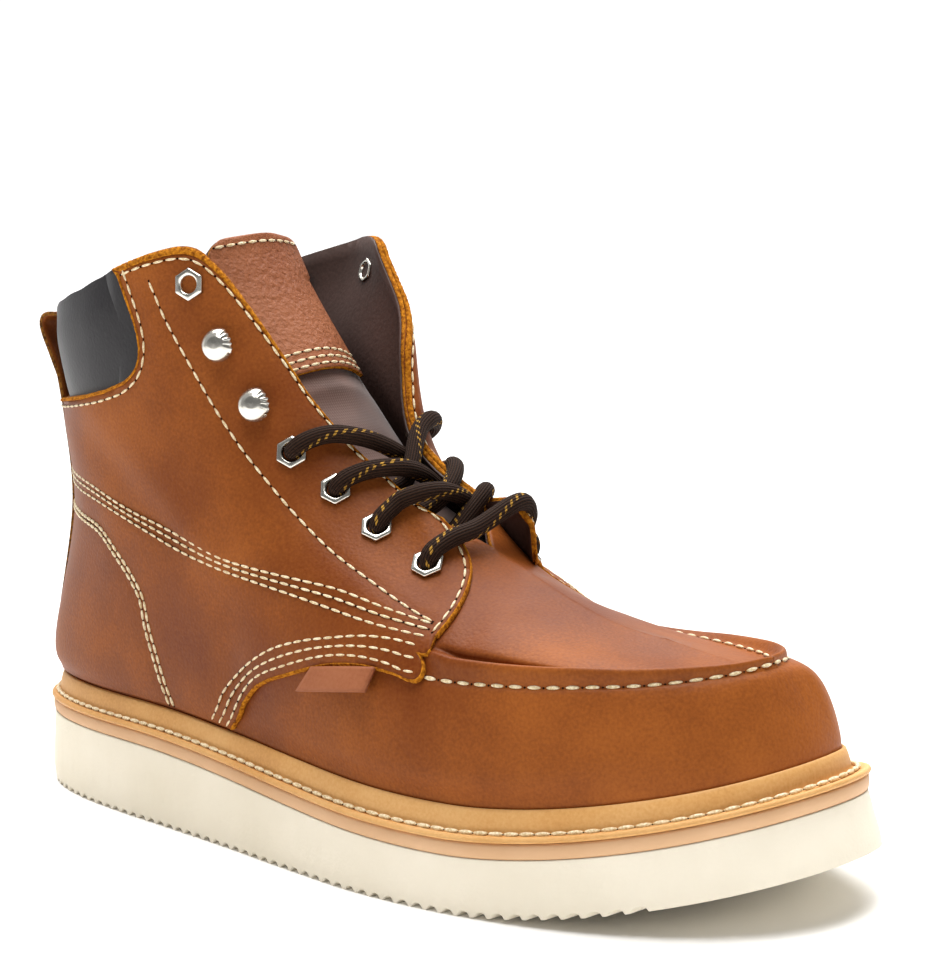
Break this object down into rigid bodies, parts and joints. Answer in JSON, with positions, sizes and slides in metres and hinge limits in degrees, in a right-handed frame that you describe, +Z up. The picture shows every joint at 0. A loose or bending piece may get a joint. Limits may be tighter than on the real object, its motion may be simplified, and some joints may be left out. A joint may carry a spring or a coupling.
{
  "type": "work boot",
  "caption": "Ankle-high leather work boot for the right foot, with a stitched moc toe, padded collar, pull loop, laced throat with hooks, storm welt and ribbed wedge sole.",
  "frame": {"origin": "middle of the bounding box, on the floor under the tread", "axes": "+X to the toe, +Y to the inner side of the foot, +Z up"},
  "size_m": [0.3092, 0.1124, 0.1801],
  "materials": {
    "sole_rubber": "matt cream rubber",
    "midsole_tan": "matt tan midsole edge",
    "welt_tan": "satin tan storm welt with a stitched groove",
    "insole_board": "dull dark brown lining leather",
    "upper_leather": "oiled rust-brown full-grain leather, soft sheen",
    "collar_vinyl": "black padded collar leather, satin",
    "strip_leather": "oiled rust-brown leather strip",
    "tongue_cloth": "dark brown woven cloth",
    "patch_leather": "grained reddish-brown leather",
    "eyelet_nickel": "nickel plated",
    "hook_nickel": "nickel plated, polished dome",
    "lace_braid": "round dark brown braid with gold flecks",
    "tab_leather": "rust-brown leather, bare"
  },
  "bodies": {
    "root": {"outsole": "sole_rubber", "midsole": "midsole_tan", "welt": "welt_tan", "insole": "insole_board", "upper": "upper_leather", "collar_pad": "collar_vinyl", "back_strip": "strip_leather", "tongue": "tongue_cloth", "tongue_patch": "patch_leather", "side_tab": "tab_leather", "eyelet_outer_1": "eyelet_nickel", "eyelet_outer_2": "eyelet_nickel", "eyelet_outer_3": "eyelet_nickel", "eyelet_outer_4": "eyelet_nickel", "eyelet_outer_5": "eyelet_nickel", "hook_outer_1": "hook_nickel", "hook_outer_2": "hook_nickel", "eyelet_inner_1": "eyelet_nickel", "eyelet_inner_2": "eyelet_nickel", "eyelet_inner_3": "eyelet_nickel", "eyelet_inner_4": "eyelet_nickel", "eyelet_inner_5": "eyelet_nickel", "hook_inner_1": "hook_nickel", "hook_inner_2": "hook_nickel", "lace_bar_1": "lace_braid", "lace_bar_2": "lace_braid", "lace_bar_3": "lace_braid", "lace_bar_4": "lace_braid"}
  },
  "joints": []
}
